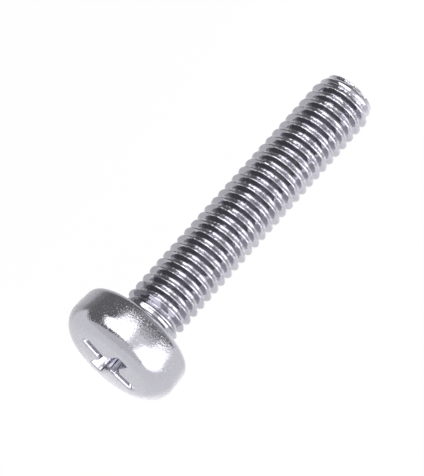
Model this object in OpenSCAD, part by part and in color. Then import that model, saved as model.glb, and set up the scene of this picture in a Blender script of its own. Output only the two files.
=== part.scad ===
// Pan head machine screw, M5 x 0.8 x 25, fully threaded, with a cross recess.
// Millimetres. The origin is on the screw's axis, in the plane of the bearing face.
// The screw lies on its side: +X runs from the head to the tip, +Z is up, and the axis dips
// towards the tip, because the rim of the head is wider than the thread.

/* [Head] */
// Diameter of the head
head_d = 9.4; // [8.6:0.1:10.2]
// Height of the head, from its bearing face to the top of the crown
head_h = 3.75; // [3.2:0.05:4.5]
// Radius of the crown
crown_r = 40; // [9:1:60]
// Radius of the shoulder, between the crown and the side
shoulder_r = 1.65; // [0.4:0.05:2.4]
// Radius of the rim, between the side and the bearing face
rim_r = 0.55; // [0.2:0.05:1]
// Radius of the fillet under the head
underhead_r = 0.3; // [0.2:0.05:0.45]

/* [Cross recess] */
// Span across two opposite wings, at the crown
recess_span = 5.2; // [4.4:0.1:5.6]
// Depth of the wings, from the crown where they end to the flat floor
recess_depth = 2.7; // [2:0.1:3]
// Diameter of the floor
floor_d = 2.3; // [1.8:0.1:2.8]
// Depth of the conical point below the floor
point_depth = 0.4; // [0.2:0.05:0.5]
// Width of a wing, at the crown
wing_w = 1.05; // [0.8:0.05:1.3]
// Width across two opposite cut corners between the wings, at the crown
corner_w = 2; // [1.9:0.05:2.3]
// Draft of every flank
flank_draft = 5; // [2:0.5:6]
// Turn of the recess about the axis
recess_turn = 63; // [0:1:89]

/* [Shank] */
// Length under the head
shank_l = 24.7; // [12:0.1:30]
// Length of the plain neck, from the bearing face
neck_l = 0.6; // [0.5:0.05:1.6]
// Diameter of the plain neck
neck_d = 4.45; // [4.3:0.05:4.5]
// Length of the tapered end
tip_l = 1.05; // [0.6:0.05:1.6]
// Diameter of the end face
tip_d = 4; // [3.4:0.05:4.2]

/* [Thread] */
// Major diameter
thread_d = 4.9; // [4.8:0.02:4.98]
// Pitch
thread_pitch = 0.8; // [0.7:0.05:1]
// Depth, from crest to root
thread_depth = 0.46; // [0.36:0.01:0.5]
// Width of the crest
crest_w = 0.1; // [0.06:0.01:0.16]
// Angle between two facing flanks
flank_angle = 60; // [50:1:62]
// Length over which the thread grows to its full depth, by the neck
run_in_l = 1.2; // [0.9:0.1:2]
// Turn of the thread about the axis
thread_turn = 74; // [0:1:359]
// Facets in a turn of the thread
turn_facets = 32; // [16:4:36]

/* [Hidden] */
$fn = 64;
steel = [0.77, 0.77, 0.81];

head_r = head_d / 2;
crown_y = head_h - crown_r;                // centre of the crown's arc, on the axis
shoulder_x = head_r - shoulder_r;          // centre of the shoulder's arc
shoulder_y = crown_y + sqrt(pow(crown_r - shoulder_r, 2) - pow(shoulder_x, 2));
tangent_x = shoulder_x * crown_r / (crown_r - shoulder_r);   // where the two arcs meet
neck_r = neck_d / 2;
above_crown = 1;                           // how far cutting bodies stand over the crown

recess_r = recess_span / 2;
face_y = crown_y + sqrt(crown_r * crown_r - recess_r * recess_r);   // the crown at the wings' ends
floor_y = face_y - recess_depth;
cut_y = head_h + above_crown;
wall_slope = (recess_r - floor_d / 2) / recess_depth;

crest_r = thread_d / 2;
root_r = crest_r - thread_depth;
flank_w = thread_depth * tan(flank_angle / 2);
tip_r = tip_d / 2;
buried_l = 0.4;                            // how far the threaded core reaches into the neck
core_z = neck_l - buried_l;
core_r = root_r - 0.1;                     // the core's radius where it starts, inside the neck
crest_start_z = -thread_pitch * thread_turn / 360;     // a crest under the axis, before the first turn
snap = thread_pitch / turn_facets / 3;     // corners this close to an end move onto it

// The thread's section along one pitch: [distance along the axis, radius]
thread_section = [
    [-crest_w / 2, crest_r],
    [crest_w / 2, crest_r],
    [crest_w / 2 + flank_w, root_r],
    [thread_pitch - crest_w / 2 - flank_w, root_r]
];
section_n = len(thread_section);
turns = ceil((shank_l - crest_start_z) / thread_pitch) + 2;
columns = turns * turn_facets;

// The last full crest under the axis, which touches what the screw lies on
full_z = shank_l - tip_l - crest_w / 2;
rest_crest_z = crest_start_z + thread_pitch * floor((full_z - crest_start_z) / thread_pitch) + crest_w / 2;
rest_rise = head_r - rim_r - crest_r;
rest_run = rest_crest_z + rim_r;
rest_dip = acos(-rim_r / norm([rest_rise, rest_run])) - atan2(rest_run, rest_rise);

// Radius that no corner of the thread passes: it grows from the neck and closes in at the tip
function limit_r(z) = min(
    core_r + (z - core_z) * (crest_r - core_r) / run_in_l,
    tip_r + (shank_l - z) * (crest_r - tip_r) / tip_l
);

// Corner j of the section, in column i round the helix: its place along the axis and its radius
function corner_z(i, j) = crest_start_z + thread_pitch * (i / turn_facets - 1) + thread_section[j][0];
function corner_r(i, j) = min(thread_section[j][1], limit_r(corner_z(i, j)));
function on_circle(i, r, z) = [r * cos(360 * i / turn_facets), r * sin(360 * i / turn_facets), z];

// The points are the ring at the neck, the ring at the tip, and then the corners.
// A corner that lies past a ring is that ring's own point.
function point_id(i, j) =
    corner_z(i, j) < core_z + snap ? i % turn_facets
    : corner_z(i, j) > shank_l - snap ? turn_facets + i % turn_facets
    : 2 * turn_facets + section_n * i + j;

// The corner above (i, j) in the same column, which after the last one is in the next turn
function above_id(i, j) = j < section_n - 1 ? point_id(i, j + 1) : point_id(i + turn_facets, 0);
function is_triangle(t) = t[0] != t[1] && t[1] != t[2] && t[2] != t[0];

// Shank with a right-hand thread, from inside the neck to the end face
module threaded_core() {
    points = concat(
        [for (k = [0 : turn_facets - 1]) on_circle(k, core_r, core_z)],
        [for (k = [0 : turn_facets - 1]) on_circle(k, tip_r, shank_l)],
        [for (i = [0 : columns + turn_facets], j = [0 : section_n - 1])
            on_circle(i, corner_r(i, j), corner_z(i, j))]
    );
    sides = [
        for (i = [0 : columns - 1], j = [0 : section_n - 1])
        let (low = point_id(i, j), high = above_id(i, j))
        let (next_low = point_id(i + 1, j), next_high = above_id(i + 1, j))
        each [[low, high, next_high], [low, next_high, next_low]]
    ];
    ends = [
        [for (k = [0 : turn_facets - 1]) k],
        [for (k = [turn_facets - 1 : -1 : 0]) turn_facets + k]
    ];
    polyhedron(points, concat(ends, [for (t = sides) if (is_triangle(t)) t]), convexity = 10);
}

// Half of the head's section, with X outwards from the axis and Y up from the bearing face
module head_section() {
    intersection() {
        union() {
            intersection() {
                translate([0, crown_y]) circle(crown_r);
                union() {
                    square([tangent_x, head_h]);
                    square([head_r, shoulder_y]);
                }
            }
            translate([shoulder_x, shoulder_y]) circle(shoulder_r);
        }
        union() {
            square([head_r - rim_r, head_h]);
            translate([0, rim_r]) square([head_r, head_h - rim_r]);
            translate([head_r - rim_r, rim_r]) circle(rim_r);
        }
    }
}

// Half of the neck's section, with the fillet that runs into the bearing face
module neck_section() {
    translate([0, -neck_l]) square([neck_r, neck_l + rim_r]);
    difference() {
        translate([0, -underhead_r]) square([neck_r + underhead_r, underhead_r + rim_r]);
        translate([neck_r + underhead_r, -underhead_r]) circle(underhead_r);
    }
}

// Plate that stands through the recess: face_w wide at the crown, thinner below by the draft
module drafted_plate(face_w) {
    low = floor_y - point_depth;
    function half(y) = face_w / 2 + (y - face_y) * tan(flank_draft);
    rotate([90, 0, 0])
        linear_extrude(height = recess_span + 2 * above_crown, center = true)
            polygon([[-half(low), low], [half(low), low], [half(cut_y), cut_y], [-half(cut_y), cut_y]]);
}

// Revolved body that holds the wings' ends, the floor and the point
module recess_envelope() {
    rotate_extrude()
        polygon([
            [0, floor_y - point_depth],
            [floor_d / 2, floor_y],
            [recess_r + (cut_y - face_y) * wall_slope, cut_y],
            [0, cut_y]
        ]);
}

// What the driver's cross fills
module cross_recess() {
    intersection() {
        recess_envelope();
        union() {
            drafted_plate(wing_w);
            rotate([0, 0, 90]) drafted_plate(wing_w);
            intersection() {
                rotate([0, 0, 45]) drafted_plate(corner_w);
                rotate([0, 0, 135]) drafted_plate(corner_w);
            }
        }
    }
}

// Head and neck, standing on the bearing face with the crown up
module head() {
    difference() {
        rotate_extrude() {
            head_section();
            neck_section();
        }
        rotate([0, 0, recess_turn]) cross_recess();
    }
}

// The whole screw along its own axis, with the tip up
module screw() {
    rotate([180, 0, 0]) head();
    threaded_core();
}

module machine_screw() {
    color(steel) rotate([0, 90 + rest_dip, 0]) screw();
}

machine_screw();
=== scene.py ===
import math

import bmesh
import bpy
from mathutils import Matrix, Vector


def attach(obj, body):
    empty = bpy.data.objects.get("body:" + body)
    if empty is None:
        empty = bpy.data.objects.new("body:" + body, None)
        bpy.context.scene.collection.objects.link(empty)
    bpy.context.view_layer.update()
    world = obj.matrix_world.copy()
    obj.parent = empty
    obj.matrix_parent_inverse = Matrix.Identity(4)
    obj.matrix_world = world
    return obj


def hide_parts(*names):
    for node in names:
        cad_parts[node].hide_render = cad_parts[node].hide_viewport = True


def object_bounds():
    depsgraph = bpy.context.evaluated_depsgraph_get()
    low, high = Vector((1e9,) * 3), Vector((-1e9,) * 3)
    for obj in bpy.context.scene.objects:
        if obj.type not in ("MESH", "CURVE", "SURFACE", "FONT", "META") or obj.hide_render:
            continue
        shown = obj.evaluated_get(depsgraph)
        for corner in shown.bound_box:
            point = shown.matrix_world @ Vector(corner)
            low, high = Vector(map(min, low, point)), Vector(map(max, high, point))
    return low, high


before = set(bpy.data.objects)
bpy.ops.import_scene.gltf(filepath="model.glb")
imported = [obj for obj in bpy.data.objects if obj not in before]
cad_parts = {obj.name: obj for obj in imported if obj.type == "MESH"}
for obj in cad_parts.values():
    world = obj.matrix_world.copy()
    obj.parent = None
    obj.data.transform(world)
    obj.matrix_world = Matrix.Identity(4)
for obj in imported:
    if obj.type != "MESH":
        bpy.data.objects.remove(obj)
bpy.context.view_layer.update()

# Sizes are in millimetres and follow the solid part; mm turns them into metres.
mm = 0.001
fullTurn = 2 * math.pi
joinWithin = 0.002                       # points this close become one
sliverWithin = 0.0001                    # shorter edges than this are taken out

# How the screw lies: its axis points along +X and dips until the rim and a crest touch the floor
placing = {
    "dipDegrees": 5.443904,
}
axisToRow = Matrix.Rotation(math.radians(90 + placing["dipDegrees"]), 4, "Y")
screwAxis = (axisToRow @ Vector((0, 0, 1))).normalized()

head = {
    "diameter": 9.4,
    "height": 3.75,
    "crownRadius": 40.0,
    "shoulderRadius": 1.65,
    "rimRadius": 0.55,
    "underheadRadius": 0.3,
    "neckDiameter": 4.45,
    "neckLength": 0.6,
    "sideBarrel": 16.0,                  # the lower side curves in, with about this radius
    "barrelFrom": 2.3,                   # height over the bearing face below which it does
    "crownRings": 16,
    "crownSpacing": 1.25,                # above 1, the rings are closer together by the recess
    "shoulderRings": 16,
    "sideRings": 8,
    "rimRings": 10,
    "filletRings": 6,
    "bearingRing": 3.6,                  # radius of a ring on the bearing face
    "coarseRing": 3.1,                   # radius of the first ring with as many points as the thread
    "neckRing": 0.45,                    # distance under the head of a ring on the neck
}

recess = {
    "span": 5.2,
    "depth": 2.7,
    "floorDiameter": 2.3,
    "pointDepth": 0.4,
    "pointShare": 0.93,                  # the very point of the floor's cone is blunt
    "wingWidth": 1.05,
    "cornerWidth": 2.0,
    "draftDegrees": 5.0,
    "turnDegrees": 63.0,
    "endFillet": 0.22,
    "innerFillet": 0.24,
    "rimRound": 0.2,
    "floorFillet": 0.14,
    "endPoints": 5,                      # this and the next four add up to 3/8 of the thread's pointsAround
    "endFilletPoints": 7,
    "wingPoints": 10,
    "innerFilletPoints": 9,
    "cornerPoints": 5,
    "floorRings": 6,
    "roundRings": 6,
    "wallRings": 9,
}

thread = {
    "diameter": 4.9,
    "pitch": 0.8,
    "depth": 0.46,
    "crestWidth": 0.1,
    "flankDegrees": 60.0,
    "crestRound": 0.02,
    "rootRound": 0.025,
    "roundSteps": 2,
    "flankPoints": (0.08, 0.94),         # shares of the flank's height that carry points of their own
    "turnDegrees": 74.0,
    "runIn": 1.0,
    "length": 24.7,
    "tipTaper": 1.05,
    "tipDiameter": 4.0,
    "tipRound": 0.07,
    "tipRoundRings": 4,
    "endRings": (1.85, 1.4, 0.9, 0.45),  # radii of the rings on the end face
    "pointsAround": 96,
    "crestUneven": 0.1,                  # how far the crests dip at most
    "rootUneven": 0.5,                   # the root's share of that unevenness
    "unevenLength": 0.55,
    "unevenDetail": 2.0,
    "unevenRough": 0.6,
    "seed": 11.0,
}


def between(a, b, share):
    return a + (b - a) * share


def onCircle(radius, angle):
    return (radius * math.cos(angle), radius * math.sin(angle))


# Recess and head, ring by ring, in the head's own axes: up is from the bearing face to the crown
headRadius = head["diameter"] / 2
crownMiddle = head["height"] - head["crownRadius"]
shoulderX = headRadius - head["shoulderRadius"]
shoulderUp = crownMiddle + math.sqrt((head["crownRadius"] - head["shoulderRadius"]) ** 2 - shoulderX ** 2)
tangentX = shoulderX * head["crownRadius"] / (head["crownRadius"] - head["shoulderRadius"])
wingReach = recess["span"] / 2


def crownUp(radius):
    return crownMiddle + math.sqrt(head["crownRadius"] ** 2 - radius ** 2)


faceUp = crownUp(wingReach)              # the crown where the wings end
floorUp = faceUp - recess["depth"]
floorRadius = recess["floorDiameter"] / 2
wallSlope = (wingReach - floorRadius) / recess["depth"]
draft = math.tan(math.radians(recess["draftDegrees"]))


# One eighth of the recess's outline, from the middle of a wing's end to the middle of a cut corner
def recessEighth(reach, wing, corner, endFillet, innerFillet):
    root2 = math.sqrt(2)
    endX = math.sqrt((reach - endFillet) ** 2 - (wing - endFillet) ** 2)
    endAngle = math.atan2(wing - endFillet, endX)
    innerX = corner * root2 - wing + innerFillet * (root2 - 1)
    count = recess["endPoints"]
    points = [onCircle(reach, endAngle * k / count) for k in range(count)]
    count = recess["endFilletPoints"]
    for k in range(count):
        x, y = onCircle(endFillet, between(endAngle, math.pi / 2, k / count))
        points.append((endX + x, wing - endFillet + y))
    count = recess["wingPoints"]
    points += [(between(endX, innerX, k / count), wing) for k in range(count)]
    count = recess["innerFilletPoints"]
    for k in range(count):
        x, y = onCircle(innerFillet, math.radians(270 - 45 * k / count))
        points.append((innerX + x, wing + innerFillet + y))
    x, y = onCircle(innerFillet, math.radians(225))
    startX, startY, middle = innerX + x, wing + innerFillet + y, corner / root2
    count = recess["cornerPoints"]
    for k in range(count + 1):
        points.append((between(startX, middle, k / count), between(startY, middle, k / count)))
    return points


# The whole outline at a height, grown outwards by a little where an edge is rounded
def recessOutline(up, grow):
    drop = up - faceUp
    eighth = recessEighth(
        wingReach + drop * wallSlope + grow,
        recess["wingWidth"] / 2 + drop * draft + grow,
        recess["cornerWidth"] / 2 + drop * draft + grow,
        recess["endFillet"] + grow,
        recess["innerFillet"] - grow,
    )
    quarter = eighth[:-1] + [(y, x) for x, y in reversed(eighth[1:])]
    outline = []
    for k in range(4):
        for x, y in quarter:
            for _ in range(k):           # a quarter turn each time
                x, y = -y, x
            outline.append((x, y))
    return outline


def recessRings():
    rings = []
    fillet = recess["floorFillet"]
    count = recess["floorRings"]
    for k in range(1, count):            # the cone-shaped floor, from near its point outwards
        ring = []
        for x, y in recessOutline(floorUp, -fillet):
            x, y = x * k / count, y * k / count
            ring.append((x, y, floorUp - recess["pointDepth"] * (1 - math.hypot(x, y) / floorRadius)))
        rings.append(ring)
    levels = []
    steps = recess["roundRings"]
    for k in range(steps + 1):           # the rounding at the foot of the walls
        angle = math.pi / 2 * (1 - k / steps)
        levels.append((floorUp + fillet * (1 - math.sin(angle)), -fillet * (1 - math.cos(angle))))
    foot = floorUp + fillet
    top = faceUp - recess["rimRound"]
    count = recess["wallRings"]
    levels += [(between(foot, top, k / count), 0) for k in range(1, count)]
    for up, grow in levels:
        ring = []
        share = min(1, max(0, (up - floorUp) / (top - floorUp)))
        for x, y in recessOutline(up, grow):
            radius = math.hypot(x, y)
            sunk = -recess["pointDepth"] * (1 - min(1, radius / floorRadius)) * (1 - share)
            ring.append((x, y, up + sunk + (crownUp(radius) - faceUp) * share))
        rings.append(ring)
    for k in range(steps + 1):           # the rounded edge between the walls and the crown
        angle = math.radians(90 - recess["draftDegrees"]) * (1 - k / steps)
        grow = recess["rimRound"] * (1 - math.sin(angle))
        drop = recess["rimRound"] * (1 - math.cos(angle))
        ring = []
        for x, y in recessOutline(faceUp, grow):
            ring.append((x, y, crownUp(math.hypot(x, y)) - drop))
        rings.append(ring)
    return rings


def headRings():
    rings = recessRings()
    edge = rings[-1]
    count = len(edge)
    steps = head["crownRings"]
    for k in range(1, steps + 1):        # the crown, from the recess's outline to a plain circle
        share = (k / steps) ** head["crownSpacing"]
        ring = []
        for i, (x, y, _) in enumerate(edge):
            outX, outY = onCircle(tangentX, fullTurn * i / count)
            px, py = between(x, outX, share), between(y, outY, share)
            ring.append((px, py, crownUp(math.hypot(px, py))))
        rings.append(ring)

    def addCircle(radius, up, points=count, lag=0.0):
        if points == count:              # the rings under the head aren't barrelled
            below = max(0, head["barrelFrom"] - up)
            radius -= below ** 2 / (2 * head["sideBarrel"])
        rings.append([(*onCircle(radius, fullTurn * i / points + lag), up) for i in range(points)])

    start = math.atan2(crownUp(tangentX) - shoulderUp, tangentX - shoulderX)
    steps = head["shoulderRings"]
    for k in range(1, steps + 1):
        x, y = onCircle(head["shoulderRadius"], start * (1 - k / steps))
        addCircle(shoulderX + x, shoulderUp + y)
    steps = head["sideRings"]
    for k in range(1, steps):
        addCircle(headRadius, between(shoulderUp, head["rimRadius"], k / steps))
    steps = head["rimRings"]
    for k in range(steps + 1):
        x, y = onCircle(head["rimRadius"], -math.pi / 2 * k / steps)
        addCircle(headRadius - head["rimRadius"] + x, head["rimRadius"] + y)
    addCircle(head["bearingRing"], 0)
    coarse = thread["pointsAround"]
    lag = math.radians(-recess["turnDegrees"] % (360 / coarse))     # turns the rest onto the thread's points
    neckRadius = head["neckDiameter"] / 2
    fillet = head["underheadRadius"]
    addCircle(head["coarseRing"], 0, coarse, lag)
    steps = head["filletRings"]
    for k in range(steps + 1):
        x, y = onCircle(fillet, math.pi / 2 * (1 + k / steps))
        addCircle(neckRadius + fillet + x, y - fillet, coarse, lag)
    addCircle(neckRadius, -head["neckRing"], coarse, lag)
    addCircle(neckRadius, -head["neckLength"], coarse, lag)
    return rings


def buildHead():
    mesh = bmesh.new()
    rows = []
    turn = Matrix.Rotation(math.radians(recess["turnDegrees"]), 4, "Z")
    flip = Matrix.Rotation(math.pi, 4, "X")
    place = flip @ turn
    for ring in headRings():
        rows.append([mesh.verts.new(place @ Vector(p)) for p in ring])
    centre = mesh.verts.new(place @ Vector((0, 0, floorUp - recess["pointDepth"] * recess["pointShare"])))
    first = rows[0]
    for i in range(len(first)):
        mesh.faces.new((centre, first[i], first[(i + 1) % len(first)]))
    for low, high in zip(rows, rows[1:]):
        ratio = len(low) // len(high)    # 3 where the head's points meet the neck's, otherwise 1
        for i in range(len(high)):
            inner = [low[(i * ratio + k) % len(low)] for k in range(ratio + 1)]
            nextHigh = high[(i + 1) % len(high)]
            if ratio == 1:
                mesh.faces.new((inner[0], high[i], nextHigh, inner[1]))
            else:
                mesh.faces.new((inner[0], high[i], inner[1]))
                mesh.faces.new((inner[1], high[i], nextHigh, inner[2]))
                mesh.faces.new((inner[2], nextHigh, inner[3]))
    return mesh


# Thread: Geometry Nodes wind a section round the axis
crestRadius = thread["diameter"] / 2
rootRadius = crestRadius - thread["depth"]
tipSlope = (crestRadius - thread["tipDiameter"] / 2) / thread["tipTaper"]
tipEdgeRadius = thread["tipDiameter"] / 2 + tipSlope * thread["tipRound"]     # where the cone ends


# Corners with roundings, as points: used for the thread's section
def roundedPath(corners, radii, steps):
    points = []
    for i, corner in enumerate(corners):
        here = Vector(corner)
        if radii[i] == 0:
            points.append(here)
            continue
        back = (Vector(corners[i - 1]) - here).normalized()
        ahead = (Vector(corners[i + 1]) - here).normalized()
        half = back.angle(ahead) / 2
        reach = radii[i] / math.tan(half)
        middle = here + (back + ahead).normalized() * radii[i] / math.sin(half)
        start, end = here + back * reach, here + ahead * reach
        sweep = (start - middle).angle_signed(end - middle)
        for k in range(steps + 1):
            arm = start - middle
            arm.rotate(Matrix.Rotation(-sweep * k / steps, 2))
            points.append(middle + arm)
    return points


# One pitch of the thread, as distances along the axis and radii
def threadSection():
    halfCrest = thread["crestWidth"] / 2
    foot = halfCrest + thread["depth"] * math.tan(math.radians(thread["flankDegrees"] / 2))
    halfPitch = thread["pitch"] / 2
    flank = []
    for share in thread["flankPoints"]:
        flank.append((-between(foot, halfCrest, share), between(rootRadius, crestRadius, share)))
    rising = [(-halfPitch, rootRadius), (-foot, rootRadius)] + flank + [(-halfCrest, crestRadius)]
    falling = [(-along, up) for along, up in reversed(rising)]
    radii = [0, thread["rootRound"]] + [0] * len(flank) + [thread["crestRound"]]
    return roundedPath(rising + falling, radii + radii[::-1], thread["roundSteps"])


# Adds nodes to a tree. An input is named with _ for a space, or as i and its number.
class Tree:
    def __init__(self, tree):
        self.tree = tree

    def node(self, kind, settings=None, **links):
        made = self.tree.nodes.new(kind)
        for name, value in (settings or {}).items():
            setattr(made, name, value)
        for name, value in links.items():
            numbered = name[0] == "i" and name[1:].isdigit()
            key = int(name[1:]) if numbered else name.replace("_", " ")
            self.feed(made.inputs[key], value)
        return made

    def feed(self, socket, value):
        if isinstance(value, bpy.types.NodeSocket):
            self.tree.links.new(value, socket)
        elif isinstance(value, bpy.types.Node):
            self.tree.links.new(value.outputs[0], socket)
        else:
            socket.default_value = value

    def math(self, operation, a, b=0.0, c=0.0):
        kind = "ShaderNodeMath"
        return self.node(kind, {"operation": operation}, i0=a, i1=b, i2=c).outputs[0]

    # soft goes from 0 to 1 with no kink at its ends
    def ramp(self, value, start, end, low=0.0, high=1.0, soft=False):
        settings = {"interpolation_type": "SMOOTHSTEP" if soft else "LINEAR"}
        kind = "ShaderNodeMapRange"
        return self.node(kind, settings, Value=value, i1=start, i2=end, i3=low, i4=high).outputs[0]


def windThread():
    seed = bpy.data.meshes.new("threadSection")
    seed.from_pydata([(0, p.x * mm, p.y * mm) for p in threadSection()], [], [])
    holder = bpy.data.objects.new("windingScrewThread", seed)
    bpy.context.scene.collection.objects.link(holder)

    group = bpy.data.node_groups.new("Wind a thread", "GeometryNodeTree")
    group.is_modifier = True
    sockets = {}

    def addInput(name, kind):
        sockets[name] = group.interface.new_socket(name, in_out="INPUT", socket_type=kind).identifier

    values = {
        "Pitch": thread["pitch"] * mm,
        "Points Around": thread["pointsAround"],
        "Turns": math.ceil((thread["length"] + thread["pitch"]) / thread["pitch"]) + 2,
        "First Crest": -thread["pitch"] * thread["turnDegrees"] / 360 * mm,
        "Neck End": head["neckLength"] * mm,
        "Neck Radius": head["neckDiameter"] / 2 * mm,
        "Run In": thread["runIn"] * mm,
        "Tip End": (thread["length"] - thread["tipRound"]) * mm,
        "Tip Radius": tipEdgeRadius * mm,
        "Tip Slope": tipSlope,
        "Root Radius": rootRadius * mm,
        "Unevenness": thread["crestUneven"] * mm,
        "Seed": thread["seed"],
    }
    addInput("Geometry", "NodeSocketGeometry")
    for name, value in values.items():
        addInput(name, "NodeSocketInt" if isinstance(value, int) else "NodeSocketFloat")
    addInput("Material", "NodeSocketMaterial")
    group.interface.new_socket("Geometry", in_out="OUTPUT", socket_type="NodeSocketGeometry")

    t = Tree(group)
    given = group.nodes.new("NodeGroupInput").outputs

    # a grid with a column for each step round the axis and a row for each point of the section
    size = t.node("GeometryNodeAttributeDomainSize", {"component": "MESH"}, i0=given["Geometry"])
    rows = size.outputs["Point Count"]
    steps = t.math("MULTIPLY", given["Points Around"], given["Turns"])
    columns = t.math("ADD", steps, 1.0)
    grid = t.node("GeometryNodeMeshGrid", None, Size_X=1.0, Size_Y=1.0, Vertices_X=columns, Vertices_Y=rows)
    index = t.node("GeometryNodeInputIndex").outputs[0]
    column = t.math("FLOOR", t.math("DIVIDE", t.math("ADD", index, 0.5), rows))
    row = t.math("SUBTRACT", index, t.math("MULTIPLY", column, rows))
    corner = t.node(
        "GeometryNodeSampleIndex", {"data_type": "FLOAT_VECTOR", "domain": "POINT"},
        Geometry=given["Geometry"], Value=t.node("GeometryNodeInputPosition"), Index=row,
    )
    cornerAxes = t.node("ShaderNodeSeparateXYZ", None, i0=corner)
    along, outward = cornerAxes.outputs["Y"], cornerAxes.outputs["Z"]

    def pick(test, otherwise, value):
        settings = {"input_type": "FLOAT"}
        return t.node("GeometryNodeSwitch", settings, i0=test, i1=otherwise, i2=value).outputs[0]

    # points past the neck or the tip, or within a third of a step of it, move onto it
    turned = t.math("DIVIDE", column, given["Points Around"])
    advance = t.math("MULTIPLY", t.math("SUBTRACT", turned, 1.0), given["Pitch"])
    raw = t.math("ADD", advance, t.math("ADD", along, given["First Crest"]))
    snap = t.math("DIVIDE", t.math("DIVIDE", given["Pitch"], given["Points Around"]), 3.0)
    nearNeck = t.math("LESS_THAN", raw, t.math("ADD", given["Neck End"], snap))
    nearTip = t.math("GREATER_THAN", raw, t.math("SUBTRACT", given["Tip End"], snap))
    z = pick(nearTip, pick(nearNeck, raw, given["Neck End"]), given["Tip End"])

    # the section grows out of the neck and is trimmed by the tip's cone
    pastNeck = t.math("DIVIDE", t.math("SUBTRACT", z, given["Neck End"]), given["Run In"])
    grown = t.ramp(pastNeck, 0.0, 1.0, soft=True)
    overNeck = t.math("SUBTRACT", outward, given["Neck Radius"])
    full = t.math("MULTIPLY_ADD", overNeck, grown, given["Neck Radius"])
    beforeTip = t.math("SUBTRACT", given["Tip End"], z)
    limit = t.math("MULTIPLY_ADD", beforeTip, given["Tip Slope"], given["Tip Radius"])
    trimmed = pick(nearTip, t.math("MINIMUM", full, limit), given["Tip Radius"])

    angle = t.math("MULTIPLY", turned, fullTurn)
    cosine, sine = t.math("COSINE", angle), t.math("SINE", angle)

    def atRadius(radius):
        x, y = t.math("MULTIPLY", radius, cosine), t.math("MULTIPLY", radius, sine)
        return t.node("ShaderNodeCombineXYZ", None, X=x, Y=y, Z=z)

    # rolled crests are a little uneven, and the roots less so
    bumps = t.node(
        "ShaderNodeTexNoise", {"noise_dimensions": "4D"}, Vector=atRadius(trimmed), W=given["Seed"],
        Scale=1 / (thread["unevenLength"] * mm),
        Detail=thread["unevenDetail"], Roughness=thread["unevenRough"],
    )
    neckHeight = t.math("SUBTRACT", given["Neck Radius"], given["Root Radius"])
    height = t.math("DIVIDE", t.math("SUBTRACT", trimmed, given["Root Radius"]), neckHeight)
    upper = t.math("MINIMUM", t.math("MAXIMUM", t.math("SUBTRACT", height, 1.0), 0.0), 1.0)
    atHeight = t.math("MULTIPLY_ADD", upper, 1 - thread["rootUneven"], thread["rootUneven"])
    notAtTip = t.math("SUBTRACT", 1.0, nearTip)
    share = t.math("MULTIPLY", t.math("MULTIPLY", atHeight, grown), notAtTip)
    dip = t.math("MULTIPLY", t.math("MULTIPLY", bumps.outputs[0], given["Unevenness"]), share)
    place = atRadius(t.math("SUBTRACT", trimmed, dip))

    shaped = t.node("GeometryNodeSetPosition", None, Geometry=grid, Position=place)
    sewn = t.node("GeometryNodeMergeByDistance", None, Geometry=shaped, Distance=joinWithin * mm)
    real = t.node("GeometryNodeRealizeInstances", None, i0=sewn)
    finished = t.node("GeometryNodeSetMaterial", None, Geometry=real, Material=given["Material"])
    t.node("NodeGroupOutput", None, Geometry=finished)

    modifier = holder.modifiers.new("Wind a thread", "NODES")
    modifier.node_group = group
    for name, value in values.items():
        modifier[sockets[name]] = value
    depsgraph = bpy.context.evaluated_depsgraph_get()
    wound = bpy.data.meshes.new_from_object(holder.evaluated_get(depsgraph))
    holder.modifiers.clear()
    bpy.data.objects.remove(holder)
    bpy.data.meshes.remove(seed)
    return wound


def closeTip(mesh):
    count = thread["pointsAround"]
    rounding = thread["tipRound"]
    rows = []

    def ring(radius, z):
        points = [(*onCircle(radius, fullTurn * i / count), z) for i in range(count)]
        rows.append([mesh.verts.new(p) for p in points])

    steps = thread["tipRoundRings"]
    for k in range(steps + 1):
        x, y = onCircle(rounding, math.pi / 2 * k / steps)
        ring(tipEdgeRadius - rounding + x, thread["length"] - rounding + y)
    for radius in thread["endRings"]:
        ring(radius, thread["length"])
    centre = mesh.verts.new((0, 0, thread["length"]))
    for low, high in zip(rows, rows[1:]):
        for i in range(count):
            j = (i + 1) % count
            mesh.faces.new((low[i], low[j], high[j], high[i]))
    for i in range(count):
        mesh.faces.new((rows[-1][i], rows[-1][(i + 1) % count], centre))


# Materials
headFinish = {
    "grainSize": 0.13,
    "waveSize": 0.8,
    "waveShare": 0.35,
    "speckSize": 0.15,
    "speckRough": 0.27,
    "bumpHeight": 0.0095,
    "colourLow": (0.475, 0.47, 0.52),
    "colourHigh": (0.515, 0.51, 0.56),
    "roughLow": 0.045,
    "roughHigh": 0.08,
}

threadFinish = {
    "grainSize": 0.5,
    "waveSize": 0.9,
    "waveShare": 0.6,
    "speckSize": 0.2,
    "speckRough": 0.0,
    "bumpHeight": 0.1,
    "flankBump": 0.02,                   # the flanks are smoother than the crests and roots, and their colour is painted darker as shade
    # painted shade between the crests: the flanks' colour is multiplied by this
    "flankPaintedShade": 0.92,
    "crestInset": 0.02,                  # the middle of a rounded crest lies this far inside its radius
    "flankFade": (0.03, 0.09),           # distances from crest and root over which the flank's finish starts
    "colourLow": (0.44, 0.435, 0.485),
    "colourHigh": (0.52, 0.515, 0.565),
    "roughLow": 0.05,
    "roughHigh": 0.1,
}

# Noise that both finishes use: detail and roughness of each field
grainNoise = {
    "grain": (3.0, 0.55),
    "wave": (2.0, 0.5),
    "dust": (2.0, 0.6),
    "specks": (0.5, 0.66),               # values of the dust between which a speck grows
}


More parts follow.
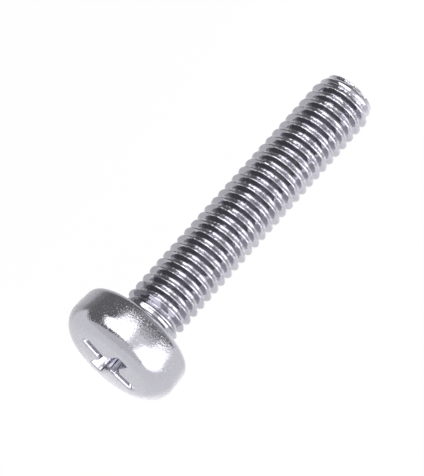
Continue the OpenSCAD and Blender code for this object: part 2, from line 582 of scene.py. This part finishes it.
def metalGrain():
    group = bpy.data.node_groups.new("Metal grain", "ShaderNodeTree")
    for name in ("Grain Size", "Wave Size", "Wave Share", "Speck Size"):
        group.interface.new_socket(name, in_out="INPUT", socket_type="NodeSocketFloat")
    for name in ("Height", "Patches", "Specks"):
        group.interface.new_socket(name, in_out="OUTPUT", socket_type="NodeSocketFloat")
    t = Tree(group)
    given = group.nodes.new("NodeGroupInput").outputs
    place = t.node("ShaderNodeTexCoord").outputs["Object"]

    def field(name, size):
        kind = "ShaderNodeTexNoise"
        detail, roughness = grainNoise[name]
        scale = t.math("DIVIDE", 1 / mm, size)
        return t.node(kind, None, Vector=place, Scale=scale, Detail=detail, Roughness=roughness).outputs[0]

    grain = field("grain", given["Grain Size"])
    wave = field("wave", given["Wave Size"])
    dust = field("dust", given["Speck Size"])
    height = t.math("MULTIPLY_ADD", wave, given["Wave Share"], grain)
    specks = t.ramp(dust, *grainNoise["specks"])
    t.node("NodeGroupOutput", None, Height=height, Patches=wave, Specks=specks)
    return group


# 0 on the thread's crests and roots, 1 elsewhere: the flanks, which get less bump and painted shade
def flankShare(t, look):
    place = t.node("ShaderNodeTexCoord").outputs["Object"]
    offAxis = t.node("ShaderNodeVectorMath", {"operation": "CROSS_PRODUCT"}, i0=place, i1=tuple(screwAxis))
    radius = t.node("ShaderNodeVectorMath", {"operation": "LENGTH"}, i0=offAxis).outputs["Value"]
    start, end = look["flankFade"]

    def awayFrom(middle):
        away = t.math("ABSOLUTE", t.math("SUBTRACT", radius, middle * mm))
        return t.ramp(away, start * mm, end * mm)

    return t.math("MULTIPLY", awayFrom(rootRadius), awayFrom(crestRadius - look["crestInset"]))


def steelMaterial(name, grainGroup, look):
    material = bpy.data.materials.new(name)
    material.use_nodes = True
    material.node_tree.nodes.clear()
    t = Tree(material.node_tree)
    grain = t.node(
        "ShaderNodeGroup", {"node_tree": grainGroup}, Grain_Size=look["grainSize"],
        Wave_Size=look["waveSize"], Wave_Share=look["waveShare"], Speck_Size=look["speckSize"],
    )
    patches = grain.outputs["Patches"]

    def mix(blend, share, first, second):
        settings = {"data_type": "RGBA", "blend_type": blend}
        return t.node("ShaderNodeMix", settings, i0=share, i6=first, i7=second).outputs[2]

    colour = mix("MIX", patches, (*look["colourLow"], 1), (*look["colourHigh"], 1))
    bumpHeight = look["bumpHeight"] * mm
    if "flankBump" in look:
        flank = flankShare(t, look)
        lower = look["flankBump"] - look["bumpHeight"]
        bumpHeight = t.math("MULTIPLY", t.math("MULTIPLY_ADD", flank, lower, look["bumpHeight"]), mm)
        # painted shade: the flanks' colour is darkened as though shaded between the crests
        flankShade = look["flankPaintedShade"]
        colour = mix("MULTIPLY", flank, colour, (flankShade, flankShade, flankShade, 1))
    bump = t.node("ShaderNodeBump", None, Strength=1.0, Distance=bumpHeight, Height=grain.outputs["Height"])
    smooth = t.ramp(patches, 0.0, 1.0, look["roughLow"], look["roughHigh"])
    rough = t.math("MULTIPLY_ADD", grain.outputs["Specks"], look["speckRough"], smooth)
    steel = t.node("ShaderNodeBsdfPrincipled", None, Base_Color=colour, Roughness=rough, Normal=bump)
    steel.inputs["Metallic"].default_value = 1.0
    t.node("ShaderNodeOutputMaterial", None, Surface=steel)
    return material


def buildScrew():
    print("winding the thread")
    wound = windThread()
    shank = bmesh.new()
    shank.from_mesh(wound)
    bpy.data.meshes.remove(wound)
    for v in shank.verts:
        v.co /= mm
    closeTip(shank)
    print("heading the blank")
    headMesh = buildHead()
    merged = bpy.data.meshes.new("headPart")
    headMesh.to_mesh(merged)
    headMesh.free()
    shank.from_mesh(merged)
    bpy.data.meshes.remove(merged)
    bmesh.ops.remove_doubles(shank, verts=shank.verts, dist=joinWithin)
    bmesh.ops.dissolve_degenerate(shank, edges=shank.edges, dist=sliverWithin)
    bmesh.ops.recalc_face_normals(shank, faces=shank.faces)
    for f in shank.faces:
        f.smooth = True                  # the head's finish comes first, then the thread's
        f.material_index = 0 if f.calc_center_median().z < head["neckLength"] else 1
    openEdges = [e for e in shank.edges if len(e.link_faces) != 2]
    print("open or crowded edges:", len(openEdges), "faces:", len(shank.faces))
    bmesh.ops.transform(shank, matrix=axisToRow @ Matrix.Scale(mm, 4), verts=shank.verts)
    mesh = bpy.data.meshes.new("screwInBrightSteel")
    shank.to_mesh(mesh)
    shank.free()
    screw = bpy.data.objects.new("screwInBrightSteel", mesh)
    bpy.context.scene.collection.objects.link(screw)
    return screw


screw = buildScrew()
print("finishing the steel")
grainGroup = metalGrain()
screw.data.materials.append(steelMaterial("Satin steel of the head", grainGroup, headFinish))
screw.data.materials.append(steelMaterial("Polished steel of the thread", grainGroup, threadFinish))
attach(screw, "root")
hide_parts("machine_screw")

# Floor, light and camera
view = {
    "towardsCamera": (-0.24091, -0.19622, 0.95051),
    "distance": 350.0,
    "offsetRight": -5.225,
    "offsetDown": 6.655,
    "focalPixels": 4793.3,
    "imageHeight": 476,
    "sensorSize": 36,
    "clipFrom": 10.0,
    "clipTo": 10000.0,
}

studio = {
    "floorSize": 3000.0,
    "openTone": 0.66,                    # painted tone in front of the head, darker than the painted light beside the screw
    "besideAlong": (-5.8, -3.8),         # where it changes to the tones beside the screw
    # distances across the screw, away from the camera, each with the floor's painted tone there
    "paintedLightAndShadeAcross": ((-9, 0.66), (-3, 1.0), (2, 1.0), (5, 0.68), (14, 0.48), (40, 0.18)),
    "floorSeen": 1.0,                    # in the picture itself floor and backdrop are this bright
    "floorShade": 0.03,                  # share of the floor's painted tone in the picture
    "dark": 0.21,                        # brightness of the room round the lit patches
    "leanSoft": 0.012,                   # half the softness of a patch's two ends
    "farSide": -60,                      # turn below which farSlant counts
}

# A direction is told by its turn about the screw's axis, in degrees from the side nearest the
# camera, growing towards the picture's lower right, and by how far it leans towards the head.
# A patch is lit between two turns and between two leans, and edges are the softness of its two
# long edges in degrees. tipSlant moves the first turn, in degrees per unit of lean to the tip.
# headSlant moves the second lean, per degree of turn below 0, and farSlant the first one, per
# degree of turn below farSide.
patches = {
    "farEnd": {
        "turns": (-40, 130),
        "edges": (45, 45),
        "lean": (-1.2, -0.55),
        "light": 0.5,
    },
    "headPaper": {
        "turns": (-220, 220),
        "edges": (10, 10),
        "lean": (0.78, 1.5),
        "farSlant": 0.005,
        "light": 0.85,
    },
    "ceiling": {
        "turns": (-45, 60),
        "edges": (25, 25),
        "lean": (-0.42, 0.745),
        "headSlant": 0.0026,
        "light": 1.1,
    },
    "nearWall": {
        "turns": (84, 200),
        "edges": (14, 14),
        "lean": (-1.2, 1.2),
        "light": 1.0,
    },
    "topBox": {
        "turns": (-61, -3),
        "edges": (6, 18),
        "lean": (-0.42, 0.745),
        "tipSlant": 60,
        "headSlant": 0.0026,
        "light": 3.1,
    },
    "sideBox": {
        "turns": (21, 86),
        "edges": (12, 26),
        "lean": (-0.42, 0.82),
        "tipSlant": 50,
        "light": 2.9,
    },
}


def buildFloor():
    low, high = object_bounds()
    half = studio["floorSize"] / 2 * mm
    z = low.z
    corners = [(-half, -half, z), (half, -half, z), (half, half, z), (-half, half, z)]
    mesh = bpy.data.meshes.new("floor")
    mesh.from_pydata(corners, [], [(0, 1, 2, 3)])
    floor = bpy.data.objects.new("floor", mesh)
    bpy.context.scene.collection.objects.link(floor)
    material = bpy.data.materials.new("Pale card of the floor with painted light and shade")
    material.use_nodes = True
    material.node_tree.nodes.clear()
    t = Tree(material.node_tree)
    place = t.node("ShaderNodeSeparateXYZ", None, i0=t.node("ShaderNodeTexCoord").outputs["Object"])

    def fade(axis, limits, before, after):
        start, end = limits
        share = t.ramp(place.outputs[axis], start * mm, end * mm, soft=True)
        return t.node("ShaderNodeMix", {"data_type": "FLOAT"}, i0=share, i2=before, i3=after).outputs[0]

    # The card's tone is painted light and shade: lighter in a band beside the screw, painted shade on its
    # far side, darker in front of the head
    tones = studio["paintedLightAndShadeAcross"]
    tone = tones[0][1]
    for (start, _), (end, nextTone) in zip(tones, tones[1:]):
        tone = fade("Y", (start, end), tone, nextTone)
    tone = fade("X", studio["besideAlong"], studio["openTone"], tone)
    card = t.node("ShaderNodeBsdfDiffuse", None, Color=tone)
    bright = t.node("ShaderNodeEmission", None, Strength=studio["floorSeen"])
    cameraRay = t.node("ShaderNodeLightPath").outputs["Is Camera Ray"]
    seen = t.math("MULTIPLY", cameraRay, 1 - studio["floorShade"])
    mixed = t.node("ShaderNodeMixShader", None, i0=seen, i1=card, i2=bright)
    t.node("ShaderNodeOutputMaterial", None, Surface=mixed)
    mesh.materials.append(material)


# How much of a lit patch shows in a direction: 1 inside, 0 outside, with soft edges
def patchShare(t, patch, turn, lean):
    first, last = patch["turns"]
    low, high = patch["lean"]
    firstSoft, lastSoft = patch["edges"][0] / 2, patch["edges"][1] / 2
    endSoft = studio["leanSoft"]

    def slanted(fromTurn, slant):
        beyond = t.math("MINIMUM", t.math("SUBTRACT", turn, fromTurn), 0.0)
        return t.math("SUBTRACT", lean, t.math("MULTIPLY", beyond, slant))

    def fadeIn(value, middle, soft):
        return t.ramp(value, middle - soft, middle + soft, soft=True)

    def fadeOut(value, middle, soft):
        return t.ramp(value, middle - soft, middle + soft, 1.0, 0.0, soft=True)

    towardsTip = t.math("MAXIMUM", t.math("MULTIPLY", lean, -1.0), 0.0)
    shifted = t.math("SUBTRACT", turn, t.math("MULTIPLY", towardsTip, patch.get("tipSlant", 0)))
    sides = t.math("MULTIPLY", fadeIn(shifted, first, firstSoft), fadeOut(turn, last, lastSoft))
    tipEnd = fadeIn(slanted(studio["farSide"], patch.get("farSlant", 0)), low, endSoft)
    headEnd = fadeOut(slanted(0, patch.get("headSlant", 0)), high, endSoft)
    return t.math("MULTIPLY", sides, t.math("MULTIPLY", tipEnd, headEnd))


def buildWorld():
    world = bpy.data.worlds.new("studio")
    bpy.context.scene.world = world
    world.use_nodes = True
    world.node_tree.nodes.clear()
    t = Tree(world.node_tree)
    direction = t.node("ShaderNodeTexCoord").outputs["Generated"]
    back = Vector(view["towardsCamera"]).normalized()
    nearSide = (back - screwAxis * back.dot(screwAxis)).normalized()
    across = screwAxis.cross(nearSide)

    def along(vector):
        settings = {"operation": "DOT_PRODUCT"}
        return t.node("ShaderNodeVectorMath", settings, i0=direction, i1=tuple(vector)).outputs["Value"]

    turn = t.math("MULTIPLY", t.math("ARCTAN2", along(across), along(nearSide)), 180 / math.pi)
    lean = along(-screwAxis)
    level = studio["dark"]
    for patch in patches.values():
        share = patchShare(t, patch, turn, lean)
        level = t.math("MAXIMUM", level, t.math("MULTIPLY", share, patch["light"]))
    seen = t.node("ShaderNodeLightPath").outputs["Is Camera Ray"]
    settings = {"data_type": "FLOAT"}
    shown = t.node("ShaderNodeMix", settings, i0=seen, i2=level, i3=studio["floorSeen"]).outputs[0]
    background = t.node("ShaderNodeBackground", None, Color=(1, 1, 1, 1), Strength=shown)
    t.node("ShaderNodeOutputWorld", None, Surface=background)


def buildCamera():
    back = Vector(view["towardsCamera"]).normalized()
    right = (-back).cross(Vector((0, 0, 1))).normalized()
    up = right.cross(-back)
    place = (back * view["distance"] - right * view["offsetRight"] + up * view["offsetDown"]) * mm
    lens = bpy.data.cameras.new("photoCamera")
    lens.sensor_width = view["sensorSize"]
    lens.lens = view["focalPixels"] * view["sensorSize"] / view["imageHeight"]
    lens.clip_start, lens.clip_end = view["clipFrom"] * mm, view["clipTo"] * mm
    camera = bpy.data.objects.new("photoCamera", lens)
    camera.matrix_world = Matrix.Translation(place) @ Matrix((right, up, back)).transposed().to_4x4()
    bpy.context.scene.collection.objects.link(camera)
    bpy.context.scene.camera = camera


print("setting the studio")
buildFloor()
buildWorld()
buildCamera()
bpy.context.scene.view_settings.view_transform = "Standard"
